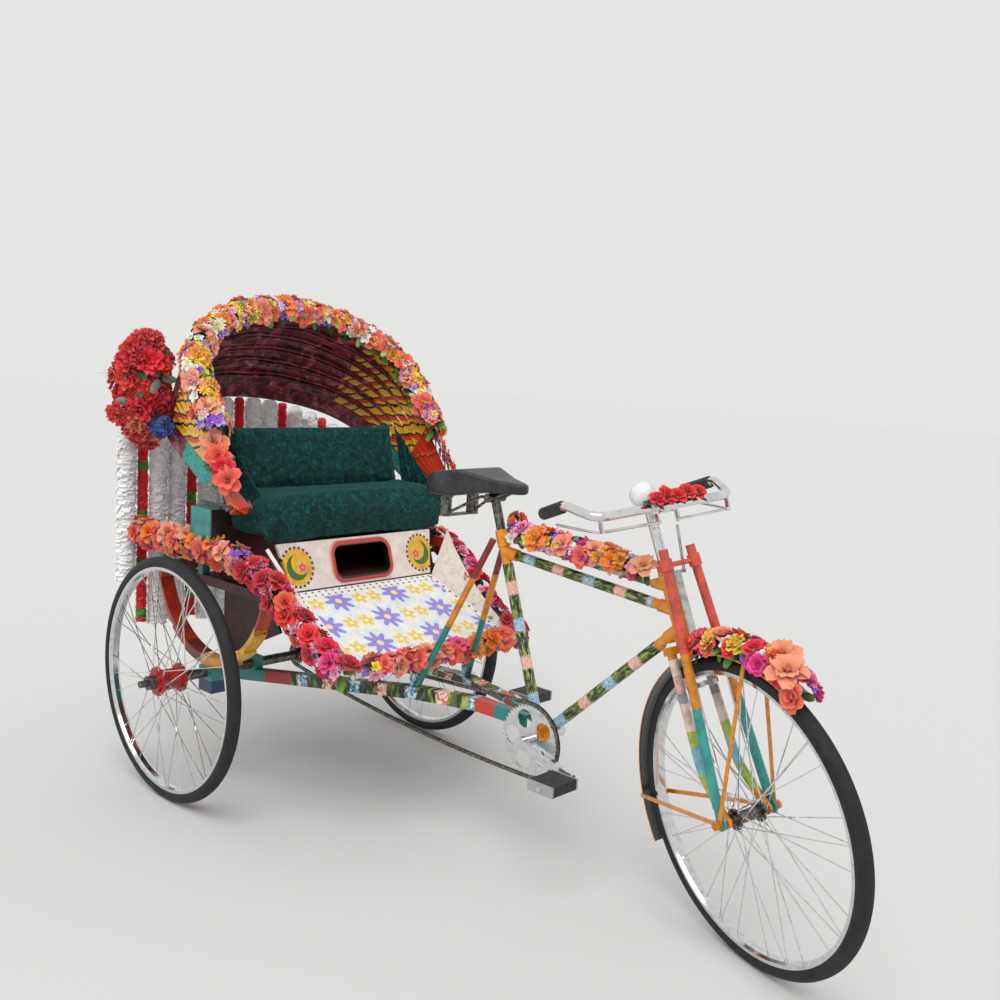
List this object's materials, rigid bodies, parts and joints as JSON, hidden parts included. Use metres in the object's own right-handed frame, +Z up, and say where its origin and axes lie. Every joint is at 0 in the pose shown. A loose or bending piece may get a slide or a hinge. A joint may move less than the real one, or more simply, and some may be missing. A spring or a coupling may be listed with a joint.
{
  "type": "cycle rickshaw",
  "caption": "Pedal cycle rickshaw with a roadster front end, a sprung passenger seat between the rear wheels, a folded slatted hood and flower garlands.",
  "frame": {"origin": "on the floor, under the centre of the vehicle's length and width", "axes": "+X forward along the vehicle's length, +Y to the rider's left, +Z up"},
  "size_m": [2.3953, 1.18, 1.4907],
  "materials": {
    "floral_enamel": "hand painted gloss",
    "stay_enamel": "hand painted gloss",
    "rail_enamel": "hand painted, worn",
    "spring_enamel": "hand painted, worn",
    "bearing_enamel": "hand painted, worn",
    "fork_enamel": "hand painted gloss",
    "red_enamel": "hand painted gloss",
    "black_enamel": "gloss",
    "chrome_plate": "polished",
    "rim_chrome": "polished",
    "worn_steel": "dull, oiled",
    "tyre_rubber": "matte",
    "grip_rubber": "matte",
    "saddle_vinyl": "satin",
    "painted_board": "gloss paint",
    "dark_board": "gloss paint",
    "painted_bamboo": "gloss paint",
    "hood_cloth": "coated cloth",
    "velvet": "crushed velvet",
    "white_flowers": "soft",
    "silk_flowers": "soft"
  },
  "bodies": {
    "root": {"armrests": "painted_board", "axle_bearings": "bearing_enamel", "back_board": "dark_board", "backrest": "velvet", "bike_frame": "floral_enamel", "body_garlands": "silk_flowers", "bouquet": "silk_flowers", "chain": "worn_steel", "chassis_rails": "rail_enamel", "cushion": "velvet", "deck_frame": "dark_board", "footboard": "painted_board", "frame_garland": "silk_flowers", "hood_pivots": "black_enamel", "hood_rib_0": "painted_bamboo", "leaf_springs": "spring_enamel", "rear_cover": "hood_cloth", "rear_curtain": "white_flowers", "saddle": "saddle_vinyl", "saddle_post": "worn_steel", "seat_box": "painted_board", "seat_panel": "painted_board", "seat_stays": "stay_enamel", "side_cloths": "velvet", "side_panels": "painted_board", "side_railings": "painted_board", "valance_boards": "dark_board"},
    "rear_axle": {"rear_axle": "worn_steel", "right_tyre": "tyre_rubber", "right_rim": "rim_chrome", "right_hub": "red_enamel"},
    "left_wheel": {"left_tyre": "tyre_rubber", "left_rim": "rim_chrome", "left_hub": "red_enamel"},
    "chainset": {"chainset": "worn_steel"},
    "pedal_right": {"pedal_right": "grip_rubber"},
    "pedal_left": {"pedal_left": "grip_rubber"},
    "steering": {"fork": "fork_enamel", "fork_stays": "red_enamel", "front_mudguard": "black_enamel", "handlebar": "chrome_plate", "grips": "grip_rubber", "brake_levers": "chrome_plate", "bell": "chrome_plate", "stirrup_brake": "chrome_plate", "front_garland": "silk_flowers"},
    "front_wheel": {"front_tyre": "tyre_rubber", "front_rim": "rim_chrome", "front_hub": "worn_steel"},
    "hood_1": {"hood_rib_1": "painted_bamboo", "hood_pleat_1": "hood_cloth"},
    "hood_2": {"hood_rib_2": "painted_bamboo", "hood_pleat_2": "hood_cloth"},
    "hood_3": {"hood_rib_3": "painted_bamboo", "hood_pleat_3": "hood_cloth"},
    "hood_4": {"hood_rib_4": "painted_bamboo", "hood_pleat_4": "hood_cloth"},
    "hood_5": {"hood_rib_5": "painted_bamboo", "hood_pleat_5": "hood_cloth", "hood_garland": "silk_flowers"}
  },
  "joints": [
    {"name": "rear_axle_spin", "type": "hinge", "parent": "root", "child": "rear_axle", "pos_m": [-0.75262, 0, 0.355], "axis": [0, 1, 0], "continuous": true},
    {"name": "left_wheel_spin", "type": "hinge", "parent": "rear_axle", "child": "left_wheel", "pos_m": [-0.75262, 0.5, 0.355], "axis": [0, 1, 0], "continuous": true},
    {"name": "crank_spin", "type": "hinge", "parent": "root", "child": "chainset", "pos_m": [0.23438, 0, 0.352], "axis": [0, 1, 0], "continuous": true},
    {"name": "pedal_right_spin", "type": "hinge", "parent": "chainset", "child": "pedal_right", "pos_m": [0.39799, -0.14, 0.30969], "axis": [0, 1, 0], "continuous": true},
    {"name": "pedal_left_spin", "type": "hinge", "parent": "chainset", "child": "pedal_left", "pos_m": [0.07076, 0.14, 0.39431], "axis": [0, 1, 0], "continuous": true},
    {"name": "steering", "type": "hinge", "parent": "root", "child": "steering", "pos_m": [0.61646, 0, 0.76971], "axis": [-0.3891, 0, 0.9212], "range_deg": [-25.3, 64.7]},
    {"name": "front_wheel_spin", "type": "hinge", "parent": "steering", "child": "front_wheel", "pos_m": [0.85623, -0.0209, 0.3521], "axis": [0.3105, 0.9415, 0.1312], "continuous": true},
    {"name": "hood_fold_1", "type": "hinge", "parent": "root", "child": "hood_1", "pos_m": [-0.56562, 0, 0.873], "axis": [0, 1, 0], "range_deg": [0, 18]},
    {"name": "hood_fold_2", "type": "hinge", "parent": "hood_1", "child": "hood_2", "pos_m": [-0.56562, 0, 0.873], "axis": [0, 1, 0], "range_deg": [0, 18]},
    {"name": "hood_fold_3", "type": "hinge", "parent": "hood_2", "child": "hood_3", "pos_m": [-0.56562, 0, 0.873], "axis": [0, 1, 0], "range_deg": [0, 18]},
    {"name": "hood_fold_4", "type": "hinge", "parent": "hood_3", "child": "hood_4", "pos_m": [-0.56562, 0, 0.873], "axis": [0, 1, 0], "range_deg": [0, 18]},
    {"name": "hood_fold_5", "type": "hinge", "parent": "hood_4", "child": "hood_5", "pos_m": [-0.56562, 0, 0.873], "axis": [0, 1, 0], "range_deg": [0, 18]}
  ],
  "couplings": [
    {"joint": "hood_fold_2", "follows": "hood_fold_1", "ratio": 1},
    {"joint": "hood_fold_3", "follows": "hood_fold_1", "ratio": 1},
    {"joint": "hood_fold_4", "follows": "hood_fold_1", "ratio": 1},
    {"joint": "hood_fold_5", "follows": "hood_fold_1", "ratio": 1}
  ]
}
